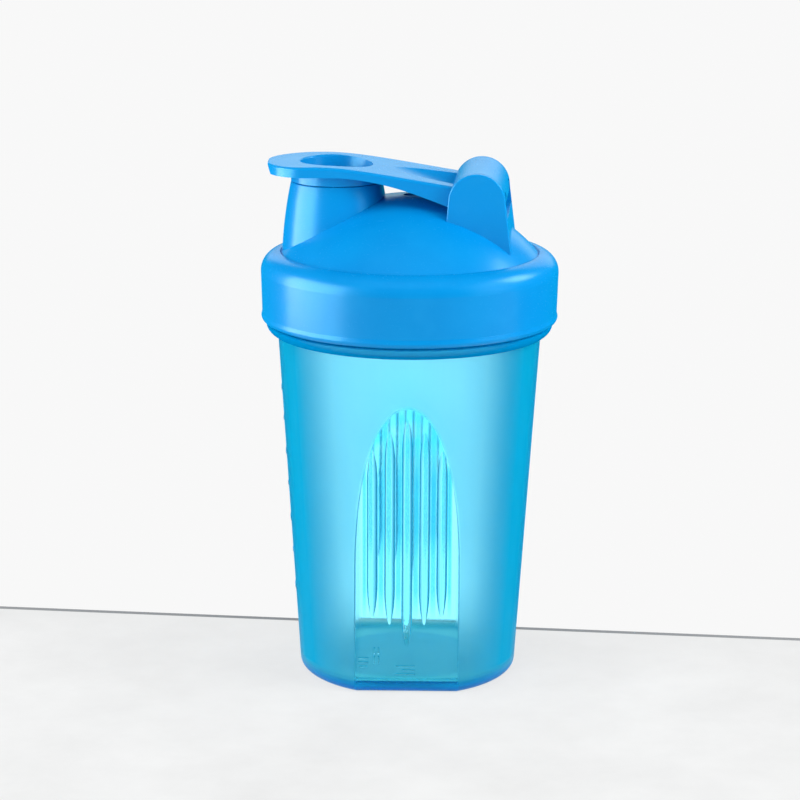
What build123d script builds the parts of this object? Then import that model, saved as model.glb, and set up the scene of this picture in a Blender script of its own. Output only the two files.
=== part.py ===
"""A 500 ml screw-top shaker bottle with a flip cap over its spout.

Row frame: millimetres, +Z up, origin at the centre of the foot. The spout is on
the -X side and the cap's hinge on the +X side. The cup's two flat grip panels
face nearly -Y and +Y: the cup stops a few degrees round when the lid is tight.
Each moulding is one solid in its own node:

cup          translucent cup with grip panels, screw thread and stop collar
lid          screw lid with dome, spout and hinge ears
flip_cap     lever arm with the spout plug and the hinge barrel
seal_ring    soft ring between the lid and the cup's rim
mixing_grid  sieve that snaps inside the lid and breaks up the powder
"""

import os
from math import atan, degrees, sqrt

from build123d import *

os.makedirs("parts", exist_ok=True)

# --- Driving dimensions: cup ---
foot_radius = 36.1  # wall radius carried down to the floor, before the foot's rounding
cup_taper = 0.0634  # radius gained per mm of height
cup_wall = 1.8
foot_rounding = 3.2
floor_rounding = 2.2
floor_top = 3.4
foot_recess_radius = 25.0
foot_recess_depth = 1.0
foot_recess_slope = 30.0  # degrees from upright
gate_radius = 1.6
gate_height = 0.6

collar_low = 115.7
collar_high = 119.3
collar_radius = 47.3
collar_rounding = 3.4
collar_edge = 0.3
neck_radius = 43.8
mouth_radius = 42.0
rim_height = 137.4
rim_rounding = 0.5

# --- Driving dimensions: grip panels, measured outwards from the cup's axis ---
panel_foot = 31.9
panel_taper = 0.068
panel_straight = 45.0
panel_end = (44.2, 108.0)  # past the wall, so that the scoop runs out of the cone
panel_half_width = 30.0
rib_radius = 1.9
rib_sink = 0.8
rib_tip = 15.4  # length of the pointed tip beyond each end of the rod
rib_point = 0.1
rib_pitch = 5.65
rib_spans = [(39.1, 74.1), (37.0, 80.3), (29.0, 84.5), (37.0, 80.3), (39.1, 74.1)]
cup_turn = 3.5  # degrees about Z at which the cup ends up under the tight lid
tick_heights = [28.4, 40.4, 52.2, 63.7, 75.0, 86.1, 96.9]
tick_arcs = [20.0, 10.0]  # degrees of the wall covered by a long and a short tick
tick_width = 0.9
tick_proud = 0.2
tick_azimuth = 183.0

# --- Driving dimensions: screw thread, right-handed with one start ---
thread_pitch = 6.0
thread_root_width = 2.4
thread_crest_width = 1.1
thread_sink = 0.3
cup_thread_start = 124.0
cup_thread_turns = 1.5
cup_thread_height = 2.0
lid_thread_start = 121.6
lid_thread_turns = 1.25
lid_thread_height = 2.4

# --- Driving dimensions: lid ---
lid_radius = 49.0
skirt_low = 119.9
skirt_inner = 46.7
bead_radius = 48.9
bead_rounding = 1.6
bead_top = 122.8
waist_radius = 48.6
shoulder_radius = 6.3
shoulder_start = 136.2
groove_radius = 42.3
groove_height = 142.0
dome_top = 161.2
lid_wall = 2.0
ceiling = 140.0
plug_skirt_outer = 41.4
plug_skirt_inner = 39.8
plug_skirt_low = 133.4
snap_radius = 39.2
snap_land = 0.4
snap_height = 0.7
inner_shoulder_start = 136.3
inner_shoulder_radius = 43.0
gate_dimple_radius = 2.3
gate_dimple_depth = 1.4

# --- Driving dimensions: spout ---
spout_x = -24.1
spout_top = 165.4
spout_radius = 15.0
spout_belly = (16.6, 156.5)
spout_foot_radius = 18.0
spout_bore_flare = 0.11  # radius gained per mm of depth
spout_wall = 2.0
spout_foot = 141.7
spout_lip_rounding = 0.4

# --- Driving dimensions: hinge ---
hinge_x = 22.7
hinge_z = 162.0
ear_radius = 9.2
barrel_radius = 9.2
ear_inner = 17.9
ear_outer = 20.2
ear_foot_x = (12.0, 34.5)
ear_foot_z = 141.5
ear_edge = 0.5
web_top = 156.5
web_front_x = 20.45
cradle_skin = 0.4  # how far the cradle stays below the dome's surface
pocket_gap = 0.35
socket_radius = 2.58
socket_depth = 1.5
trunnion_radius = 2.5
trunnion_length = 1.3

# --- Driving dimensions: flip cap ---
arm_half_width = 17.5
arm_tip_x = -46.8
arm_tip_z = 171.9
arm_nose_x = -33.2  # where the straight sides turn into the rounded nose
arm_underside_tip = (-44.9, 168.5)
arm_top_points = [(-37.4, 171.9), (-26.4, 172.1), (-12.4, 170.8), (3.6, 168.4)]
arm_top_end = (hinge_x, 165.6)
arm_low_points = [(6.6, 162.6), (-4.4, 166.1), (-14.4, 168.1)]
arm_low_end = (hinge_x, 156.6)
arm_low_tip = (-22.0, 168.8)
arm_edge = 0.9
dome_gap = 0.6
scoop_radius = 20.0
scoop_tip = (-5.9, 170.0)
scoop_slope = 19.4
band_low = 165.6
band_height = 4.5
band_radius = 15.0
plug_radius = 12.8
plug_tip_radius = 12.1
plug_low = 160.6
recess_radius = 11.9
recess_floor_radius = 10.4
recess_floor = 162.4
recess_top = 172.1
recess_edge = 0.8
recess_bowl = 2.0
barrel_gap = 0.3
barrel_slot_depth = 3.4
barrel_slot_length = 4.6
barrel_slot_y = 14.1
barrel_slots = [(0.9, 3.3), (-2.8, 2.6)]  # middle above the hinge line, and height

# --- Driving dimensions: seal ring and mixing grid ---
seal_inner = 41.7
seal_outer = 43.8
seal_low = 137.5
seal_high = 139.8
seal_rounding = 0.5
grid_radius = 39.5
grid_low = 134.2
grid_rim_height = 3.4
grid_rim_width = 1.8
grid_thickness = 1.6
grid_hole = 4.6
grid_hole_rounding = 0.6
grid_pitch = 6.2
grid_count = 11
grid_hole_reach = 35.0

# --- Blanks and cutters ---
overcut = 5.0  # how far a cutter runs past the surface it opens
blank_reach = 60.0  # longer than any stretch that a cutter or blank has to cover

# --- Sizes worked out from these ---
dome_drop = dome_top - groove_height
dome_radius = (groove_radius**2 + dome_drop**2) / (2 * dome_drop)
dome_centre = dome_top - dome_radius
dome_inner = dome_radius - lid_wall
dome_foot_angle = degrees(atan((groove_height - dome_centre) / groove_radius))
scoop_height = panel_end[1] - panel_straight
scoop_rise = panel_end[0] - panel_foot - panel_taper * panel_end[1]
scoop_curve = scoop_height**2 / (2 * scoop_rise)  # radius of the arc that runs out of the cone
hinge_line = Plane((hinge_x, 0, hinge_z), x_dir=(1, 0, 0), z_dir=(0, -1, 0))


def cup_radius(z):
    """Outer radius of the cup's conical wall at height z."""
    return foot_radius + cup_taper * z


def panel_distance(z):
    """Distance of a grip panel's straight stretch from the cup's axis at height z."""
    return panel_foot + panel_taper * z


def panel_cutter(inset, low):
    """Everything outside the -Y grip panel, moved inwards by inset and down to height low."""
    foot = (inset - panel_distance(low), low)
    bend = (inset - panel_distance(panel_straight), panel_straight)
    top = (inset - panel_end[0], panel_end[1])
    with BuildPart() as cutter:
        with BuildSketch(Plane.YZ):
            with BuildLine():
                toe = Line((foot[0] + foot_rounding, low), (foot[0] + foot_rounding, low - overcut))
                round_toe = TangentArc(
                    (foot[0] + foot_rounding, low), (foot[0], low + foot_rounding), tangent=(-1, 0)
                )
                straight = Line(round_toe @ 1, bend)
                scoop = TangentArc(bend, top, tangent=straight % 1)
                Polyline(
                    scoop @ 1, (-blank_reach, panel_end[1]), (-blank_reach, low - overcut), toe @ 1
                )
            make_face()
        extrude(amount=panel_half_width, both=True)
    return cutter.part


def grip_rib(x, low, high):
    """One vertical rib: a rod that follows the -Y panel, with a slim pointed tip at each end."""
    with BuildPart() as tip:
        with BuildSketch(Plane.XZ):
            with BuildLine():
                flank = TangentArc((rib_radius, 0), (rib_point, rib_tip), tangent=(0, 1))
                Polyline(flank @ 1, (0, rib_tip), (0, 0), (rib_radius, 0))
            make_face()
        revolve(axis=Axis.Z)
    with BuildPart() as rib:
        with BuildLine(Plane.YZ.offset(x)) as path:
            straight = Line(
                (rib_sink - panel_distance(low), low),
                (rib_sink - panel_distance(panel_straight), panel_straight),
            )
            scoop_reach = high - panel_straight
            scoop_rise_here = scoop_reach**2 / (2 * scoop_curve)
            TangentArc(
                straight @ 1,
                (rib_sink - panel_distance(high) - scoop_rise_here, high),
                tangent=straight % 1,
            )
        spine = path.wire()
        with BuildSketch(Plane(spine @ 0, z_dir=spine % 0)):
            Circle(rib_radius)
        sweep(path=spine)
        for point, direction in ((spine @ 0, -(spine % 0)), (spine @ 1, spine % 1)):
            with Locations(Plane(point, z_dir=direction)):
                add(tip.part)
    return rib.part


def screw_thread(root_radius, height, start, turns):
    """A helical ridge on root_radius, outwards for a positive height and inwards for a negative one."""
    sink = thread_sink if height > 0 else -thread_sink
    root = root_radius - sink
    with BuildPart() as thread:
        with BuildLine(Plane.XY.offset(start)) as path:
            Helix(thread_pitch, thread_pitch * turns, root)
        spine = path.wire()
        with BuildSketch(Plane(spine @ 0, x_dir=(1, 0, 0), z_dir=spine % 0)):
            with BuildLine():
                Polyline(
                    (0, -thread_root_width / 2),
                    (height + sink, -thread_crest_width / 2),
                    (height + sink, thread_crest_width / 2),
                    (0, thread_root_width / 2),
                    close=True,
                )
            make_face()
        sweep(path=spine, is_frenet=True)
    return thread.part


# --- Cup ---
with BuildPart() as cup_cavity:
    with BuildSketch(Plane.XZ):
        with BuildLine():
            Polyline(
                (0, floor_top),
                (cup_radius(floor_top) - cup_wall, floor_top),
                (cup_radius(collar_high) - cup_wall, collar_high),
                (mouth_radius, rim_height),
                (mouth_radius, rim_height + overcut),
                (0, rim_height + overcut),
                close=True,
            )
        make_face()
    revolve(axis=Axis.Z)
    fillet(cup_cavity.edges().group_by(Axis.Z)[0], floor_rounding)
    inner_panel = panel_cutter(cup_wall, floor_top)
    add(inner_panel, mode=Mode.SUBTRACT)
    add(inner_panel.mirror(Plane.XZ), mode=Mode.SUBTRACT)

with BuildPart() as cup:
    with BuildSketch(Plane.XZ):
        with BuildLine():
            foot = Line((0, 0), (foot_radius - foot_rounding, 0))
            heel = TangentArc(foot @ 1, (cup_radius(foot_rounding), foot_rounding), tangent=(1, 0))
            wall = Line(heel @ 1, (cup_radius(collar_low), collar_low))
            underside = Line(wall @ 1, (collar_radius - collar_rounding, collar_low))
            collar = TangentArc(
                underside @ 1, (collar_radius, collar_high - collar_edge), tangent=(1, 0)
            )
            Polyline(
                collar @ 1,
                (collar_radius - collar_edge, collar_high),
                (neck_radius, collar_high),
                (neck_radius, rim_height),
                (0, rim_height),
                (0, 0),
            )
        make_face()
    revolve(axis=Axis.Z)
    outer_panel = panel_cutter(0, 0)
    add(outer_panel, mode=Mode.SUBTRACT)
    add(outer_panel.mirror(Plane.XZ), mode=Mode.SUBTRACT)
    for index, (low, high) in enumerate(rib_spans):
        rib = grip_rib((index - len(rib_spans) // 2) * rib_pitch, low, high)
        add(rib)
        add(rib.mirror(Plane.XZ))
    with BuildSketch():
        Circle(foot_recess_radius)
    extrude(amount=foot_recess_depth, taper=foot_recess_slope, mode=Mode.SUBTRACT)
    with Locations((0, 0, foot_recess_depth)):
        Cylinder(gate_radius, gate_height, align=(Align.CENTER, Align.CENTER, Align.MAX))
    add(cup_cavity.part, mode=Mode.SUBTRACT)
    fillet(cup.edges().filter_by(GeomType.CIRCLE).group_by(Axis.Z)[-1], rim_rounding)
    for index, height in enumerate(tick_heights):
        arc = tick_arcs[index % 2]
        with BuildSketch(Plane.XZ.rotated((0, 0, tick_azimuth - cup_turn - arc / 2))):
            with Locations((cup_radius(height), height)):
                Rectangle(2 * tick_proud, tick_width)
        revolve(axis=Axis.Z, revolution_arc=arc)
    add(screw_thread(neck_radius, cup_thread_height, cup_thread_start, cup_thread_turns))
cup.part = cup.part.rotate(Axis.Z, cup_turn)
cup.part.label = "cup"

# --- Lid ---
with BuildPart() as lid_cavity:
    inner_foot = sqrt(dome_inner**2 - plug_skirt_inner**2) + dome_centre
    with BuildSketch(Plane.XZ):
        with BuildLine():
            skirt = Polyline(
                (0, skirt_low - overcut),
                (skirt_inner, skirt_low - overcut),
                (skirt_inner, inner_shoulder_start),
            )
            inner_shoulder = TangentArc(
                skirt @ 1, (inner_shoulder_radius, ceiling), tangent=(0, 1)
            )
            Polyline(
                inner_shoulder @ 1,
                (plug_skirt_outer, ceiling),
                (plug_skirt_outer, plug_skirt_low),
                (snap_radius, plug_skirt_low),
                (snap_radius, plug_skirt_low + snap_land),
                (plug_skirt_inner, plug_skirt_low + snap_height),
                (plug_skirt_inner, inner_foot),
            )
            inner_angle = degrees(atan((inner_foot - dome_centre) / plug_skirt_inner))
            CenterArc((0, dome_centre), dome_inner, inner_angle, 90 - inner_angle)
            Line((0, dome_centre + dome_inner), (0, skirt_low - overcut))
        make_face()
    revolve(axis=Axis.Z)

with BuildPart() as dome:
    with BuildSketch(Plane.XZ):
        with BuildLine():
            low_edge = Line((0, skirt_low), (bead_radius - bead_rounding, skirt_low))
            bead = TangentArc(low_edge @ 1, (bead_radius, skirt_low + bead_rounding), tangent=(1, 0))
            side = Polyline(bead @ 1, (waist_radius, bead_top), (lid_radius, shoulder_start))
            shoulder = TangentArc(
                side @ 1,
                (lid_radius - shoulder_radius, shoulder_start + shoulder_radius),
                tangent=(0, 1),
            )
            Line(shoulder @ 1, (groove_radius, groove_height))
            CenterArc((0, dome_centre), dome_radius, dome_foot_angle, 90 - dome_foot_angle)
            Line((0, dome_top), (0, skirt_low))
        make_face()
    revolve(axis=Axis.Z)

with BuildPart() as ears:
    with BuildSketch(Plane.XZ) as ear_outline:
        with BuildLine():
            arch = CenterArc((hinge_x, hinge_z), ear_radius, 0, 180)
            Polyline(
                arch @ 1, (ear_foot_x[0], ear_foot_z), (ear_foot_x[1], ear_foot_z), arch @ 0
            )
        make_face()
    extrude(amount=ear_outer, both=True)
    fillet(ears.faces().filter_by(Axis.Y).edges().filter_by(Axis.Y, reverse=True), ear_edge)
    with BuildSketch(Plane.XZ):
        with Locations((web_front_x, ear_foot_z - overcut)):
            Rectangle(blank_reach, blank_reach, align=(Align.MAX, Align.MIN))
        with Locations((hinge_x, web_top)):
            Rectangle(blank_reach, blank_reach, align=(Align.CENTER, Align.MIN))
    extrude(amount=ear_inner, both=True, mode=Mode.SUBTRACT)

with BuildPart() as lid:
    add(dome.part)
    with BuildSketch(Plane.XZ):
        with BuildLine():
            flank = Spline(
                (spout_x + spout_foot_radius, spout_foot),
                (spout_x + spout_belly[0], spout_belly[1]),
                (spout_x + spout_radius, spout_top),
            )
            Polyline(flank @ 1, (spout_x, spout_top), (spout_x, spout_foot), flank @ 0)
        make_face()
    revolve(axis=Axis((spout_x, 0, 0), (0, 0, 1)))
    spout_lip = lid.edges().group_by(Axis.Z)[-1]
    fillet(spout_lip, spout_lip_rounding)
    add(ears.part)
    add(lid_cavity.part, mode=Mode.SUBTRACT)
    with Locations((spout_x, 0, spout_top)):
        Cone(
            spout_radius - spout_wall + spout_bore_flare * (spout_top - spout_foot),
            spout_radius - spout_wall,
            spout_top - spout_foot,
            align=(Align.CENTER, Align.CENTER, Align.MAX),
            mode=Mode.SUBTRACT,
        )
    with BuildPart(hinge_line, mode=Mode.PRIVATE) as cradle:
        Cylinder(barrel_radius + pocket_gap + lid_wall, 2 * ear_outer)
        with Locations((-hinge_x, dome_centre - hinge_z, 0)):
            Sphere(dome_radius - cradle_skin, mode=Mode.INTERSECT)
    add(cradle.part)
    with BuildPart(hinge_line, mode=Mode.PRIVATE) as pocket:
        Cylinder(barrel_radius + pocket_gap, 2 * ear_inner)
        Cylinder(socket_radius, 2 * (ear_inner + socket_depth))
    add(pocket.part, mode=Mode.SUBTRACT)
    with Locations((0, 0, dome_top)):
        Cylinder(gate_dimple_radius, 2 * gate_dimple_depth, mode=Mode.SUBTRACT)
    add(screw_thread(skirt_inner, -lid_thread_height, lid_thread_start, lid_thread_turns))
lid.part.label = "lid"

# --- Flip cap ---
with BuildPart() as flip_cap:
    with BuildSketch(Plane.XZ):
        with BuildLine():
            top = Spline((arm_tip_x, arm_tip_z), *arm_top_points, arm_top_end)
            end = Line(top @ 1, arm_low_end)
            low = Spline(arm_low_end, *arm_low_points, arm_low_tip)
            Polyline(low @ 1, arm_underside_tip, top @ 0)
        make_face()
    extrude(amount=arm_half_width, both=True)
    with BuildSketch(Plane.XY.offset(arm_low_end[1] - overcut)):
        with Locations((arm_nose_x, 0)):
            Ellipse(arm_nose_x - arm_tip_x, arm_half_width)
            Rectangle(blank_reach, 2 * arm_half_width, align=(Align.MIN, Align.CENTER))
    extrude(amount=blank_reach, mode=Mode.INTERSECT)
    arm_top = flip_cap.faces().sort_by(Axis.Z)[-1]
    fillet(arm_top.edges().filter_by(lambda edge: edge.center().X < hinge_x - 1), arm_edge)
    with Locations((0, 0, dome_centre)):
        Sphere(dome_radius + dome_gap, mode=Mode.SUBTRACT)
    scoop_plane = Plane((scoop_tip[0], 0, scoop_tip[1])).rotated((0, scoop_slope, 0))
    with Locations(scoop_plane.offset(scoop_radius)):
        Cylinder(scoop_radius, blank_reach, rotation=(0, 90, 0), mode=Mode.SUBTRACT)
    with Locations((spout_x, 0, band_low)):
        Cylinder(band_radius, band_height, align=(Align.CENTER, Align.CENTER, Align.MIN))
    with Locations((spout_x, 0, band_low)):
        Cone(
            plug_tip_radius,
            plug_radius,
            band_low - plug_low,
            align=(Align.CENTER, Align.CENTER, Align.MAX),
        )
    with BuildSketch(Plane.XZ):
        with BuildLine():
            lip_x = spout_x + recess_radius + recess_edge
            floor = Line(
                (spout_x, recess_floor),
                (spout_x + recess_floor_radius - recess_bowl, recess_floor),
            )
            bowl = TangentArc(
                floor @ 1,
                (spout_x + recess_floor_radius, recess_floor + recess_bowl),
                tangent=(1, 0),
            )
            side = Line(bowl @ 1, (spout_x + recess_radius, recess_top - recess_edge))
            TangentArc(side @ 1, (lip_x, recess_top), tangent=(0, 1))
            Polyline(
                (lip_x, recess_top),
                (lip_x, recess_top + overcut),
                (spout_x, recess_top + overcut),
                (spout_x, recess_floor),
            )
        make_face()
    revolve(axis=Axis((spout_x, 0, 0), (0, 0, 1)), mode=Mode.SUBTRACT)
    with BuildPart(hinge_line, mode=Mode.PRIVATE) as barrel:
        Cylinder(barrel_radius, 2 * (ear_inner - barrel_gap))
        Cylinder(trunnion_radius, 2 * (ear_inner + trunnion_length))
        for rise, height in barrel_slots:
            with Locations((barrel_radius, rise, barrel_slot_y), (barrel_radius, rise, -barrel_slot_y)):
                Box(2 * barrel_slot_depth, height, barrel_slot_length, mode=Mode.SUBTRACT)
    add(barrel.part)
flip_cap.part.label = "flip_cap"

# --- Seal ring ---
with BuildPart() as seal_ring:
    with BuildSketch(Plane.XZ):
        with Locations(((seal_inner + seal_outer) / 2, (seal_low + seal_high) / 2)):
            RectangleRounded(seal_outer - seal_inner, seal_high - seal_low, seal_rounding)
    revolve(axis=Axis.Z)
seal_ring.part.label = "seal_ring"

# --- Mixing grid ---
with BuildPart() as mixing_grid:
    with BuildSketch(Plane.XY.offset(grid_low)):
        Circle(grid_radius)
    extrude(amount=grid_thickness)
    with BuildSketch(Plane.XY.offset(grid_low)):
        Circle(grid_radius)
        Circle(grid_radius - grid_rim_width, mode=Mode.SUBTRACT)
    extrude(amount=grid_rim_height)
    with BuildSketch(Plane.XY.offset(grid_low)):
        with GridLocations(grid_pitch, grid_pitch, grid_count, grid_count) as lattice:
            spots = lattice.local_locations
        near = [spot for spot in spots if spot.position.length < grid_hole_reach]
        with Locations(*near):
            RectangleRounded(grid_hole, grid_hole, grid_hole_rounding)
    extrude(amount=grid_thickness, mode=Mode.SUBTRACT)
mixing_grid.part.label = "mixing_grid"

for piece in (cup, lid, flip_cap, seal_ring, mixing_grid):
    export_step(piece.part, f"parts/{piece.part.label}.step")
    print(piece.part.label, round(piece.part.volume / 1000, 2), "ml of plastic")
print("dome radius", round(dome_radius, 1), "cup mouth volume", round(cup_cavity.part.volume / 1000))
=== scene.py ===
# %% [markdown]
# # A shaker bottle with a flip cap
# The bottle arrives as finished mouldings: cup, lid, flip cap, seal ring and mixing grid. This lesson
# gives each one the surface that real moulded plastic has, adds the small raised marks that are
# easier to shape here, and sets up a small product studio around it.

# %% Load the mouldings
import math

import bpy
from mathutils import Matrix, Vector


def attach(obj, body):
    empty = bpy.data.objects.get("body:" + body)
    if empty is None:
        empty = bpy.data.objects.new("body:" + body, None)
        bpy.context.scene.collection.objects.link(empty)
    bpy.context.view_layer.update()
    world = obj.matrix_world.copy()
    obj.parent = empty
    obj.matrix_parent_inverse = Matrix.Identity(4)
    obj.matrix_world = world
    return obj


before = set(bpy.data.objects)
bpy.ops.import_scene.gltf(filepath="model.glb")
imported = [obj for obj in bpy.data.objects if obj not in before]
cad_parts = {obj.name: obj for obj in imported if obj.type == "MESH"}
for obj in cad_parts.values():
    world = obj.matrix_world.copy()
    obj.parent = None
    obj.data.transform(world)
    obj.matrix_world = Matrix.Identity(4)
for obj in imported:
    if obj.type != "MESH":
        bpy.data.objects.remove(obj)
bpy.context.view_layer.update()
print("mouldings:", sorted(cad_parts))

# %% [markdown]
# ## One short way to write shader maths
# A material is a web of nodes. Drawn by hand, each Add or Multiply is a node and two wires. Written
# in Python, a small class can hold one output socket and let `+`, `-`, `*` and `/` add those nodes,
# so a pattern reads like the formula it is. Colours don't go through it, because a Math node turns
# a colour grey: they meet in a Mix node, which is what `mix` adds.


# %% A socket that does arithmetic
class Wire:
    """One output socket of a node tree, which adds Math nodes when it is used in a sum."""

    def __init__(self, tree, socket=None):
        self.tree = tree
        self.socket = socket

    def node(self, kind, settings=None, values=None, output=0):
        """A new node of that kind: settings first, then the values or wires of its sockets."""
        made = self.tree.nodes.new(kind)
        for name, value in (settings or {}).items():
            setattr(made, name, value)
        for name, value in (values or {}).items():
            if isinstance(value, Wire):
                self.tree.links.new(value.socket, made.inputs[name])
            else:
                made.inputs[name].default_value = value
        return Wire(self.tree, made.outputs[output])

    def math(self, operation, *others, clamp=False):
        """A Math node that works on this value and the others."""
        sockets = dict(enumerate((self, *others)))
        return self.node("ShaderNodeMath", {"operation": operation, "use_clamp": clamp}, sockets)

    def __add__(self, other):
        return self.math("ADD", other)

    __radd__ = __add__

    def __mul__(self, other):
        return self.math("MULTIPLY", other)

    __rmul__ = __mul__

    def __sub__(self, other):
        return self.math("SUBTRACT", other)

    def __rsub__(self, other):
        return self * -1 + other

    def __truediv__(self, other):
        return self.math("DIVIDE", other)

    def size(self):
        """The value without its sign."""
        return self.math("ABSOLUTE")

    def output(self, name):
        """Another output of the same node, by its number or name."""
        return Wire(self.tree, self.socket.node.outputs[name])

    def smooth(self, low, high):
        """0 at low, 1 at high and an even slope between them; low may be the larger number."""
        return (self - low).math("DIVIDE", high - low, clamp=True)

    def mix(self, first, second):
        """The first colour where this wire is 0 and the second where it is 1."""
        return self.node(
            "ShaderNodeMix",
            {"data_type": "RGBA"},
            {0: self, 6: first, 7: second},
            output=2,
        )


print("shader arithmetic ready")


# %% [markdown]
# ## Starting a material
# Every finish here starts the same way: an empty node tree and the object's own coordinates in
# millimetres. Generated or window coordinates would be quicker to wire up, but object coordinates
# stay fixed to the moulding, so a pattern does not swim when the lid turns, and a speck of 0.5 mm
# can be asked for as 0.5.


# %% An empty finish
MM = 0.001


def start_finish(name):
    """A new material with an output, and a Wire from which its nodes are made."""
    material = bpy.data.materials.new(name)
    material.use_nodes = True
    material.node_tree.nodes.clear()
    pen = Wire(material.node_tree)
    place = pen.node("ShaderNodeTexCoord", output=3)
    place_mm = pen.node("ShaderNodeVectorMath", {"operation": "SCALE"}, {0: place, "Scale": 1 / MM})
    return material, pen, place_mm


def end_finish(pen, shader, depth=None):
    """Joins the shader, and what fills the moulding where light goes in, to the output."""
    out = pen.tree.nodes.new("ShaderNodeOutputMaterial")
    pen.tree.links.new(shader.socket, out.inputs["Surface"])
    if depth:
        pen.tree.links.new(depth.socket, out.inputs["Volume"])


def noise(pen, place, size_mm, detail=2.0, roughness=0.5):
    """Soft random blotches about size_mm across, from 0 to 1."""
    return pen.node(
        "ShaderNodeTexNoise",
        {"noise_dimensions": "3D"},
        {"Vector": place, "Scale": 1 / size_mm, "Detail": detail, "Roughness": roughness},
    )


print("finishes start from object coordinates in millimetres")

# %% [markdown]
# ## The lid's opaque plastic
# The lid and flip cap are polypropylene coloured all through. Up close it has a fine satin grain
# from the mould, a faint cloudiness in the colour, smoother rubbed patches where fingers grip it and
# hair-fine scratches. The grain could be sculpted, but at half a millimetre it would need millions
# of faces, so a Bump node tilts the light instead. The tint on the gloss keeps reflections blue, as
# they look on strongly coloured plastic.

# %% Lid plastic
LID_BLUE = (0.0, 0.212, 0.55, 1.0)
LID_BLUE_PALE = (0.0, 0.232, 0.58, 1.0)
LID_BLUE_WORN = (0.004, 0.25, 0.60, 1.0)


def lid_plastic():
    """Satin blue plastic with mould grain, rubbed patches and fine scratches."""
    material, pen, place = start_finish("satin_blue_plastic")
    cloud = noise(pen, place, 28.0, 3.0)
    grain = noise(pen, place, 0.45, 2.0)
    rubbed = noise(pen, place, 9.0, 4.0, 0.6).smooth(0.5, 0.75)
    drawn_out = pen.node("ShaderNodeVectorMath", {"operation": "MULTIPLY"}, {0: place, 1: (1, 6, 9)})
    scratch = noise(pen, drawn_out, 5.0, 5.0, 0.7).smooth(0.66, 0.72)
    colour = cloud.smooth(0.35, 0.65).mix(LID_BLUE, LID_BLUE_PALE)
    colour = (rubbed * 0.5).mix(colour, LID_BLUE_WORN)
    height = grain * (1 - rubbed * 0.5) - scratch * 0.4
    bump = pen.node(
        "ShaderNodeBump", {}, {"Strength": 0.25, "Distance": 0.02 * MM, "Height": height}
    )
    shader = pen.node(
        "ShaderNodeBsdfPrincipled",
        {},
        {
            "Base Color": colour,
            "Roughness": 0.24 + grain * 0.05 - rubbed * 0.04 + scratch * 0.08,
            "IOR": 1.45,
            "Specular Tint": (0.35, 0.85, 1.0, 1.0),
            "Normal": bump,
        },
    )
    end_finish(pen, shader)
    return material


lid_blue = lid_plastic()
print("finish made:", lid_blue.name, "with", len(lid_blue.node_tree.nodes), "nodes")

# %% [markdown]
# ## Where the cup's grip panels are
# The cup's round wall is etched to a satin haze, but both grip panels are polished and look clear,
# so the finish has to know where the panels are. A painted image could hold that, yet the cup is
# cut by simple rules, and the same rules work as shader maths: a point is on a panel where the
# panel stands further in than the cone it was cut from. The cup is turned a little under its lid,
# so the place is turned back first. The grooves between the ribs repeat at an even pitch, which the
# fraction of x over the pitch gives.

# %% The panel mask
CONE_FOOT, CONE_TAPER = 36.1, 0.0634
PANEL_FOOT, PANEL_TAPER, PANEL_STRAIGHT = 31.9, 0.068, 45.0
SCOOP_CURVE = 400.4
CUP_TURN = 3.5
RIB_PITCH = 5.65
GROOVES_FOOT, GROOVES_TOP = (26.0, 36.0), (86.0, 74.0)
FLOOR_TOP = 3.4
COLLAR_LOW = 115.7


def cup_places(pen, place):
    """Distance x across the panels, radius, height z, and 1 on a polished panel."""
    turned = pen.node(
        "ShaderNodeVectorRotate",
        {"rotation_type": "Z_AXIS"},
        {"Vector": place, "Angle": -math.radians(CUP_TURN)},
    )
    x = pen.node("ShaderNodeSeparateXYZ", {}, {0: turned})
    y = x.output(1)
    z = x.output(2)
    square = x * x + y * y
    radius = square.math("SQRT")
    cone = z * CONE_TAPER + CONE_FOOT
    above = (z - PANEL_STRAIGHT).math("MAXIMUM", 0.0)
    panel = z * PANEL_TAPER + PANEL_FOOT + above * above / (2 * SCOOP_CURVE)
    inside = cone * cone - panel * panel - x * x
    polished = inside.smooth(-6.0, 14.0) * z.smooth(FLOOR_TOP - 0.4, FLOOR_TOP + 1.1)
    return x, radius, z, polished


def rib_grooves(x, z, polished):
    """1 in the grooves between the grip ribs, where painted shade is put, and 0 elsewhere."""
    across = x / RIB_PITCH + 100.0  # whole pitches, so that the value never falls below 0
    off_middle = (across.math("FRACT") - 0.5).size()
    among_ribs = x.size().smooth(RIB_PITCH * 2.6, RIB_PITCH * 2.5)
    beside_ribs = z.smooth(*GROOVES_FOOT) * z.smooth(*GROOVES_TOP) * polished
    return off_middle.smooth(0.19, 0.09) * among_ribs * beside_ribs


print("panel mask ready; a groove comes every", RIB_PITCH, "mm")

# %% [markdown]
# ## The cup's surface
# Real cups are etched on the round wall, where a fine mould grain and faint streaks of flow make
# the light through it soft, and polished on the panels. One roughness value can't show both, so the
# satin and the polish are blended by the panel mask. Streaks are a noise that is stretched upwards,
# because the melt runs along the height of the mould.

# %% Cup grain, haze and flow


def cup_surface(pen, place, polished):
    """The cup's haze and flow noises, its roughness and its bump."""
    grain = noise(pen, place, 0.6, 2.0)
    haze = noise(pen, place, 14.0, 3.0)
    drawn_down = pen.node(
        "ShaderNodeVectorMath", {"operation": "MULTIPLY"}, {0: place, 1: (1, 1, 0.06)}
    )
    flow = noise(pen, drawn_down, 2.5, 3.0, 0.6)
    satin = 0.34 + grain * 0.05 + haze * 0.05 + flow * 0.04
    roughness = satin * (1 - polished) + polished * (0.05 + haze * 0.04)
    bump = pen.node(
        "ShaderNodeBump",
        {},
        {"Strength": 0.2, "Distance": 0.02 * MM, "Height": grain * (1 - polished)},
    )
    return haze, flow, roughness, bump


print("cup surface ready")
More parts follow.
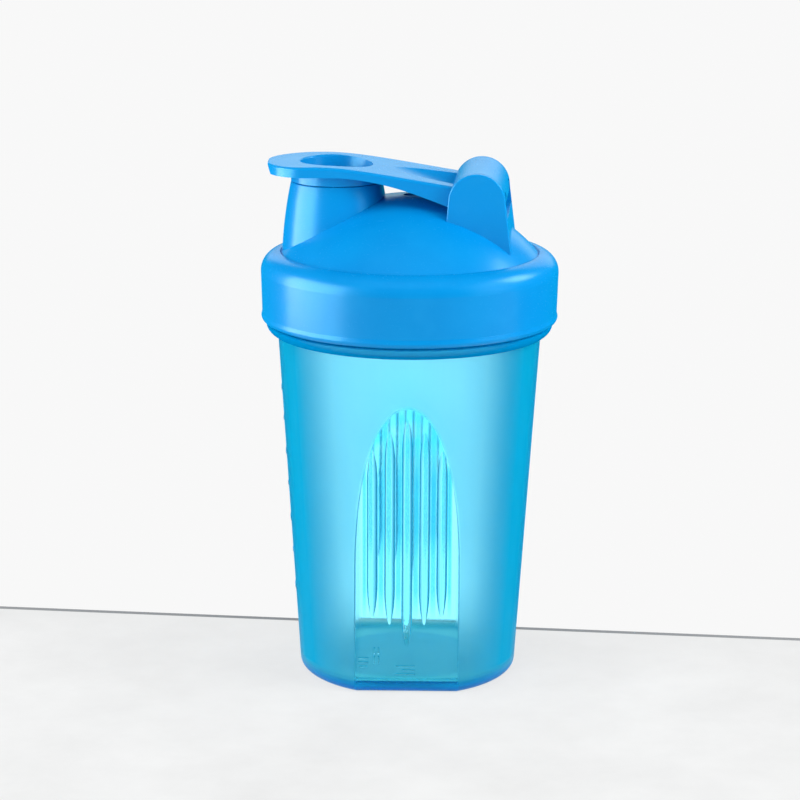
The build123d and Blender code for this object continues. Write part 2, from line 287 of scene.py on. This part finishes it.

# %% [markdown]
# ## Light in the plastic
# Light goes into this plastic, and two things happen to it. Some passes straight through and loses
# its red on the way, the more the thicker the plastic is: that is clear glass-like plastic with
# Volume Absorption inside. The deep blue bands at the base and rims are also painted into the
# colour: at the base for the thick floor, and at the collar as painted shade under the lid. The rest
# is scattered by the milky polymer and glows in the plastic's own blue: that half is a plain blue
# surface mixed with a Translucent shader. One Principled shader alone gives either clean glass or
# dull paint, so both are made here and mixed later.

# %% Clear and milky plastic
CUP_TINT = (0.93, 0.915, 0.905, 1.0)
# The deeper tint is used at the thick foot, and as painted shade in the rib grooves and a painted
# dark reflection at the arch.
CUP_TINT_THICK_AND_SHADED = (0.10, 0.86, 0.97, 1.0)
CUP_DEPTH_TINT = (0.0, 0.876, 0.983, 1.0)
CUP_DEPTH = 322.0
CUP_GLOW = (0.0, 0.52, 0.80, 1.0)
# The darker glow is used at the thick foot and as painted shade at the collar.
CUP_GLOW_FOOT_AND_SHADE = (0.0, 0.26, 0.74, 1.0)


def clear_plastic(pen, thickness_and_painted_shade, roughness, bump):
    """The part of the plastic that light passes through, tinted deeper where the plastic is thick and
    where painted shade and a painted reflection are put.
    """
    return pen.node(
        "ShaderNodeBsdfPrincipled",
        {},
        {
            "Base Color": thickness_and_painted_shade.mix(CUP_TINT, CUP_TINT_THICK_AND_SHADED),
            "Roughness": roughness,
            "IOR": 1.49,
            "Specular Tint": (0.2, 0.8, 1.0, 1.0),
            "Transmission Weight": 1.0,
            "Normal": bump,
        },
    )


def milky_plastic(pen, foot_and_collar_shade, bump):
    """The part that scatters light, half back and half on, deeper blue at the thick foot and, as
    painted shade, at the collar.
    """
    thrown_back = pen.node(
        "ShaderNodeBsdfPrincipled",
        {},
        {
            "Base Color": foot_and_collar_shade.mix(CUP_GLOW, CUP_GLOW_FOOT_AND_SHADE),
            "Roughness": 0.4,
            "Specular IOR Level": 0.0,
            "Normal": bump,
        },
    )
    passed_on = pen.node("ShaderNodeBsdfTranslucent", {}, {"Color": CUP_GLOW})
    return pen.node("ShaderNodeMixShader", {}, {0: 0.5, 1: thrown_back, 2: passed_on})


print("clear and milky plastic ready")

# %% [markdown]
# ## How milky the cup is
# A wall seen at a slant is thicker to the eye, so it shows more milk and less of what is behind.
# Layer Weight tells how slanted it is. The polished panels show less milk, and the foot shows more,
# because the plastic there is thick; the collar under the lid is given more as painted shade.

# %% Cup plastic


def cup_milkiness(pen, z, polished, haze, flow):
    """How much of the milk the wall shows between the foot and the collar."""
    facing = pen.node("ShaderNodeLayerWeight", {}, {"Blend": 0.5}, output=1)
    slanted = facing.smooth(0.24, 0.56) * (1 - facing.smooth(0.72, 0.86) * 0.4)
    everywhere = (0.05 + haze * 0.03 + flow * 0.03) * (1 - polished * 0.7)
    return everywhere + slanted * z.smooth(FLOOR_TOP, FLOOR_TOP + 3.0) * 0.8


def cup_plastic():
    """Satin translucent plastic, polished clear in the grip panels."""
    material, pen, place = start_finish("translucent_blue_plastic")
    x, radius, z, polished = cup_places(pen, place)
    haze, flow, roughness, bump = cup_surface(pen, place, polished)
    # The grooves between the ribs get painted shade: a deeper tint and more milk.
    groove_shade = rib_grooves(x, z, polished)
    # A noisy band at the top of the polished panels is a painted dark reflection at the arch.
    arch_reflection = polished * z.smooth(80.0, 88.0) * haze.smooth(0.42, 0.56)
    foot = z.smooth(FLOOR_TOP + 1.0, FLOOR_TOP - 0.4)
    foot_wall = foot * radius.smooth(31.0, 32.0)
    # The collar under the lid gets darker, milkier plastic: painted shade from the lid.
    collar_shade = z.smooth(COLLAR_LOW - 0.5, COLLAR_LOW + 0.3)
    # Painted shade in the grooves and the painted reflection at the arch deepen the clear tint, as
    # the thick foot does.
    clear = clear_plastic(pen, groove_shade * 0.6 + arch_reflection * 0.6 + foot * 0.9, roughness, bump)
    milk = milky_plastic(pen, foot + collar_shade * 0.6, bump)
    milkiness = cup_milkiness(pen, z, polished, haze, flow)
    # More milk in the grooves and at the collar is painted shade; the foot's wall gets more because
    # it is thick.
    milkiness = milkiness + groove_shade * 0.14 + collar_shade * 0.45 + foot_wall * 0.25
    shader = pen.node("ShaderNodeMixShader", {}, {0: milkiness, 1: clear, 2: milk})
    depth = pen.node(
        "ShaderNodeVolumeAbsorption", {}, {"Color": CUP_DEPTH_TINT, "Density": CUP_DEPTH}
    )
    end_finish(pen, shader, depth)
    return material


cup_blue = cup_plastic()
print("finish made:", cup_blue.name, "with", len(cup_blue.node_tree.nodes), "nodes")

# %% [markdown]
# ## Silicone and uncoloured plastic
# The seal ring is soft pale silicone: it never takes a polish and it holds a little dust. The
# mixing grid is the same plastic as the cup, but uncoloured, and shows faint flow marks where the
# melt filled the mould. Both stay inside the bottle, so one noise each is enough to keep them from
# looking like flat paint when the lid is off.

# %% Silicone and grid finishes


def inner_finish(name, size_mm, dark, pale, roughness):
    """A pale finish with one noise behind its colour, gloss and grain."""
    material, pen, place = start_finish(name)
    marks = noise(pen, place, size_mm, 3.0)
    bump = pen.node(
        "ShaderNodeBump", {}, {"Strength": 0.2, "Distance": 0.03 * MM, "Height": marks}
    )
    shader = pen.node(
        "ShaderNodeBsdfPrincipled",
        {},
        {
            "Base Color": marks.mix(dark, pale),
            "Roughness": roughness + marks * 0.1,
            "Normal": bump,
        },
    )
    end_finish(pen, shader)
    return material


silicone = inner_finish(
    "pale_silicone", 1.2, (0.62, 0.68, 0.72, 1), (0.78, 0.82, 0.85, 1), 0.5
)
natural = inner_finish(
    "natural_plastic", 6.0, (0.55, 0.78, 0.86, 1), (0.68, 0.86, 0.92, 1), 0.25
)
print("finishes made:", silicone.name, "and", natural.name)

# %% [markdown]
# ## Dressing the mouldings
# Each moulding already has material slots with a plain stand-in. Only the material in a slot is
# changed. The mesh stays as it is, so that the moulding keeps its exact size.

# %% Dress the mouldings


def dress(node, material):
    """Gives all of a moulding's material slots one finish."""
    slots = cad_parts[node].material_slots
    for slot in slots:
        slot.material = material
    print(node, "wears", material.name, "in", len(slots), "slot")


dress("lid", lid_blue)
dress("flip_cap", lid_blue)
dress("cup", cup_blue)
dress("seal_ring", silicone)
dress("mixing_grid", natural)

# %% [markdown]
# ## Small raised marks on the front panel
# Low on the front panel the mould has left small raised marks. They could be a bump pattern, but a
# real ridge refracts light through clear plastic and shows in the mesh, so they are modelled: one
# bar is shaped from a cube with a rounded top, then copied along rows and joined. The marks here
# are plain bars. Each is sunk a little into the wall, so that no gap can open under it.

# %% The first bar
BAR_HEIGHT, BAR_DEPTH, BAR_SINK, BAR_ROUND = 0.6, 0.5, 0.28, 0.12


def add_bar(x, z, width, height=BAR_HEIGHT):
    """One rounded bar on the front panel, its middle x across and z up, in millimetres."""
    lean = math.atan(PANEL_TAPER)
    out = PANEL_FOOT + PANEL_TAPER * z - BAR_SINK + BAR_DEPTH / 2
    bpy.ops.object.select_all(action="DESELECT")
    bpy.ops.mesh.primitive_cube_add(
        size=1.0,
        location=(x * MM, -out * MM, z * MM),
        rotation=(lean, 0.0, 0.0),
        scale=(width * MM, BAR_DEPTH * MM, height * MM),
    )
    bar = bpy.context.object
    bpy.ops.object.transform_apply(location=True, rotation=True, scale=True)
    bpy.ops.object.mode_set(mode="EDIT")
    bpy.ops.mesh.select_all(action="SELECT")
    bpy.ops.mesh.bevel(offset=BAR_ROUND * MM, segments=2, affect="EDGES")
    bpy.ops.object.mode_set(mode="OBJECT")
    return bar


bars = [add_bar(-14.2, 12.4, 3.4)]
print("first bar has", len(bars[0].data.polygons), "faces")

# %% [markdown]
# ## The rest of the bars
# Two small blocks stand at the left of the panel and one in the middle. A list of middles and
# widths says more than a page of copied operators would.

# %% Rows of bars, joined
BAR_ROWS = [
    (-14.2, 10.9, 3.4, BAR_HEIGHT),
    (-14.2, 9.4, 2.6, BAR_HEIGHT),
    (-10.6, 15.0, 0.6, 2.4),
    (-9.2, 15.0, 0.6, 2.4),
    (-10.6, 11.8, 0.6, 2.8),
    (-9.2, 11.8, 0.6, 2.8),
    (-0.4, 9.6, 6.4, BAR_HEIGHT),
    (0.6, 8.2, 4.4, BAR_HEIGHT),
    (-0.4, 6.8, 6.4, BAR_HEIGHT),
]
for x, z, width, height in BAR_ROWS:
    bars.append(add_bar(x, z, width, height))
bpy.ops.object.select_all(action="DESELECT")
for bar in bars:
    bar.select_set(True)
bpy.context.view_layer.objects.active = bars[0]
bpy.ops.object.join()
marks = bpy.context.object
marks.name = "panel_marks"
marks.data.name = "panel_marks"
marks.rotation_euler = (0.0, 0.0, math.radians(CUP_TURN))
bpy.ops.object.transform_apply(location=True, rotation=True, scale=True)
bpy.ops.object.origin_set(type="ORIGIN_CURSOR")
bpy.ops.object.shade_smooth_by_angle(angle=math.radians(40))
marks.data.materials.append(cup_blue)
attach(marks, "cup")
print("marks:", len(BAR_ROWS) + 1, "bars,", len(marks.data.polygons), "faces")

# %% [markdown]
# ## The table
# The bottle stands on a pale lit table top, with a thin grey strip of painted shade along its back
# edge. A plane would do for the top, but the edge of a real top catches light, so this is a slab
# with small bevels. It glows softly, like a light table. The glow is what keeps the floor of the cup
# bright.

# %% Table top
TABLE_EDGE_Y, TABLE_TURN = 0.0425, -2.1
TABLE_THICK, TABLE_DEPTH, TABLE_WIDTH, TABLE_ROUND = 0.012, 1.5, 3.0, 0.6 * MM
bpy.ops.object.select_all(action="DESELECT")
bpy.ops.mesh.primitive_cube_add(
    size=1.0,
    location=(0.0, TABLE_EDGE_Y - TABLE_DEPTH / 2, -TABLE_THICK / 2),
    scale=(TABLE_WIDTH, TABLE_DEPTH, TABLE_THICK),
)
table = bpy.context.object
table.name = "table_top"
bpy.ops.object.transform_apply(location=True, rotation=True, scale=True)
bpy.ops.object.mode_set(mode="EDIT")
bpy.ops.mesh.select_all(action="SELECT")
bpy.ops.mesh.bevel(offset=TABLE_ROUND, segments=2, affect="EDGES")
bpy.ops.object.mode_set(mode="OBJECT")
table.rotation_euler = (0.0, 0.0, math.radians(TABLE_TURN))
bpy.ops.object.transform_apply(location=True, rotation=True, scale=True)
print("table top:", TABLE_WIDTH, "by", TABLE_DEPTH, "m")

# %% [markdown]
# ## The table's finish
# The top is smooth white stone: soft veins in the colour and a few short scratches in the gloss.
# The painted shade along the back edge needs no mesh of its own: a mask on the distance from the
# back edge colours it grey and dims its glow.

# %% Table finish
EDGE_SHADE_WIDTH = 3.4


def table_finish():
    """Pale lit stone with veins, scratches and a grey strip of painted shade at the back."""
    material, pen, place = start_finish("pale_stone")
    turned = pen.node(
        "ShaderNodeVectorRotate",
        {"rotation_type": "Z_AXIS"},
        {"Vector": place, "Angle": -math.radians(TABLE_TURN)},
    )
    y = pen.node("ShaderNodeSeparateXYZ", {}, {0: turned}, output=1)
    # The strip along the back edge is painted shade: grey, with a dimmer glow.
    edge_shade = y.math("GREATER_THAN", TABLE_EDGE_Y / MM - EDGE_SHADE_WIDTH)
    veins = noise(pen, place, 60.0, 6.0, 0.65)
    scratch = noise(pen, place, 9.0, 5.0, 0.7).smooth(0.62, 0.7)
    stone = veins.smooth(0.3, 0.7).mix((0.11, 0.112, 0.11, 1), (0.16, 0.163, 0.16, 1))
    lit_stone = veins.smooth(0.3, 0.7).mix((0.97, 0.97, 0.97, 1), (1.0, 1.0, 1.0, 1))
    shader = pen.node(
        "ShaderNodeBsdfPrincipled",
        {},
        {
            "Base Color": edge_shade.mix(stone, (0.2, 0.205, 0.21, 1)),
            "Roughness": 0.3 + veins * 0.1 + scratch * 0.2,
            "Specular IOR Level": 0.0,
            "Emission Color": edge_shade.mix(lit_stone, (0.16, 0.165, 0.17, 1)),
            "Emission Strength": 0.71,
        },
    )
    end_finish(pen, shader)
    return material


table.data.materials.append(table_finish())
print("table wears", table.data.materials[0].name)

# %% [markdown]
# ## Lamps
# Two soft panels stand at the left and right, one wide lamp hangs overhead, and a bright card
# stands behind the bottle so that the cup has something to show through it. In a studio, lamps are
# flagged off with black cloth, so that each one does a single job. Here the lamp's ray visibility
# does the same: a lamp for light does not show as a reflection, and a lamp for gloss shows only as
# one.

# %% Lamp helpers


def softbox(name, place, aim, size, radiance):
    """A rectangular area lamp at place that faces aim, with an even brightness of radiance."""
    bpy.ops.object.light_add(type="AREA", location=place)
    lamp = bpy.context.object
    lamp.name = name
    lamp.data.shape = "RECTANGLE"
    lamp.data.size, lamp.data.size_y = size
    lamp.data.energy = radiance * math.pi * size[0] * size[1]
    lamp.rotation_euler = (Vector(aim) - Vector(place)).to_track_quat("-Z", "Y").to_euler()
    lamp.visible_camera = False
    return lamp


def panel_lamp(name, azimuth, away, low, high, width, radiance):
    """An upright panel facing the bottle: azimuth 0 is in front of it and 90 on its right."""
    turn = math.radians(azimuth)
    middle = (low + high) / 2
    place = (away * math.sin(turn), -away * math.cos(turn), middle)
    return softbox(name, place, (0, 0, middle), (width, high - low), radiance)


print("lamp helpers ready")

# %% [markdown]
# ## Lamps that light
# The left panel is nearest and gives the lid its bright left side. The right one is weaker, and the
# overhead lamp fills the tops.

# %% Light lamps
lit_by = [
    panel_lamp("left_panel", -70, 0.45, 0.0, 0.42, 0.5, 3.7),
    panel_lamp("right_panel", 70, 0.55, 0.1, 0.7, 0.3, 7.5),
    softbox("overhead", (0.0, -0.35, 0.95), (0, 0, 0.1), (0.9, 0.7), 1.75),
]
for lamp in lit_by:
    lamp.visible_glossy = False
    lamp.visible_transmission = False
    print(lamp.name, "gives", round(lamp.data.energy, 2), "W")

# %% [markdown]
# ## Lamps that only shine
# These show as highlights on the skirt, on the shoulder and on the flat tops of the arm and barrel.

# %% Gloss lamps
shown_on_gloss = [
    panel_lamp("left_gloss", -73, 0.43, 0.02, 0.40, 0.44, 9.0),
    panel_lamp("right_gloss", 107, 0.6, 0.4, 0.7, 0.25, 10.0),
    panel_lamp("rear_gloss", 180, 1.1, 0.25, 0.9, 1.2, 0.8),
]
for lamp in shown_on_gloss:
    lamp.visible_transmission = False
    lamp.visible_diffuse = False
    print(lamp.name, "shows", round(lamp.data.size, 2), "m wide")

# %% [markdown]
# ## The card behind
# This one is seen only through the cup. Its width decides how far round the cup the bright middle
# reaches before the plastic turns deep blue.

# %% Backdrop card
glow = panel_lamp("backdrop_glow", 180, 1.2, -0.9, 1.1, 1.0, 1.5)
glow.visible_glossy = False
glow.visible_diffuse = False
print("card behind:", round(glow.data.size, 2), "m wide")

# %% [markdown]
# ## The room
# The open room is white where the camera looks straight at it, and dim elsewhere, so that it
# doesn't wash out the lamps. Light that left a gloss or a clear surface finds it blue: a
# translucent bottle stands in its own coloured light, and a white room would grey its edges.

# %% Room
world = bpy.data.worlds.new("studio")
bpy.context.scene.world = world
world.use_nodes = True
world.node_tree.nodes.clear()
sky = Wire(world.node_tree)
seen = sky.node("ShaderNodeLightPath")
white_room = sky.node("ShaderNodeBackground", {}, {"Color": (1, 1, 1, 1), "Strength": 0.94})
dim_room = sky.node("ShaderNodeBackground", {}, {"Color": (0.95, 0.97, 1, 1), "Strength": 0.45})
blue_room = sky.node("ShaderNodeBackground", {}, {"Color": (0, 0.6, 1, 1), "Strength": 0.7})
bounced = sky.node(
    "ShaderNodeMixShader", {}, {0: seen.output("Is Diffuse Ray"), 1: blue_room, 2: dim_room}
)
room = sky.node(
    "ShaderNodeMixShader", {}, {0: seen.output("Is Camera Ray"), 1: bounced, 2: white_room}
)
out = sky.tree.nodes.new("ShaderNodeOutputWorld")
sky.tree.links.new(room.socket, out.inputs["Surface"])
print("room has", len(world.node_tree.nodes), "nodes")

# %% [markdown]
# ## The camera
# The bottle is looked at from just above its lid with a long lens, a little to the right of its
# front, which keeps its sides almost parallel. The camera is placed by its angle round the bottle,
# its distance and its height, and then tilted down, because those are the numbers one would
# measure in a studio. The standard view keeps the plastic's saturated blues.

# %% Camera
CAMERA_AZIMUTH, CAMERA_TILT, CAMERA_ROLL = 4.0, 13.70, 0.35
CAMERA_AWAY, CAMERA_HEIGHT = 0.880, 0.3064
LENS, SHIFT_X = 122.3, -0.0112
azimuth = math.radians(CAMERA_AZIMUTH)
turned = (
    Matrix.Rotation(azimuth, 3, "Z")
    @ Matrix.Rotation(math.radians(90 - CAMERA_TILT), 3, "X")
    @ Matrix.Rotation(math.radians(CAMERA_ROLL), 3, "Z")
)
bpy.ops.object.camera_add(
    location=(CAMERA_AWAY * math.sin(azimuth), -CAMERA_AWAY * math.cos(azimuth), CAMERA_HEIGHT),
    rotation=turned.to_euler(),
)
camera = bpy.context.object
camera.data.lens = LENS
camera.data.sensor_width = 36.0
camera.data.shift_x = SHIFT_X
bpy.context.scene.camera = camera
bpy.context.scene.view_settings.view_transform = "Standard"
print("camera stands", round(camera.location.length, 3), "m from the bottle's foot")
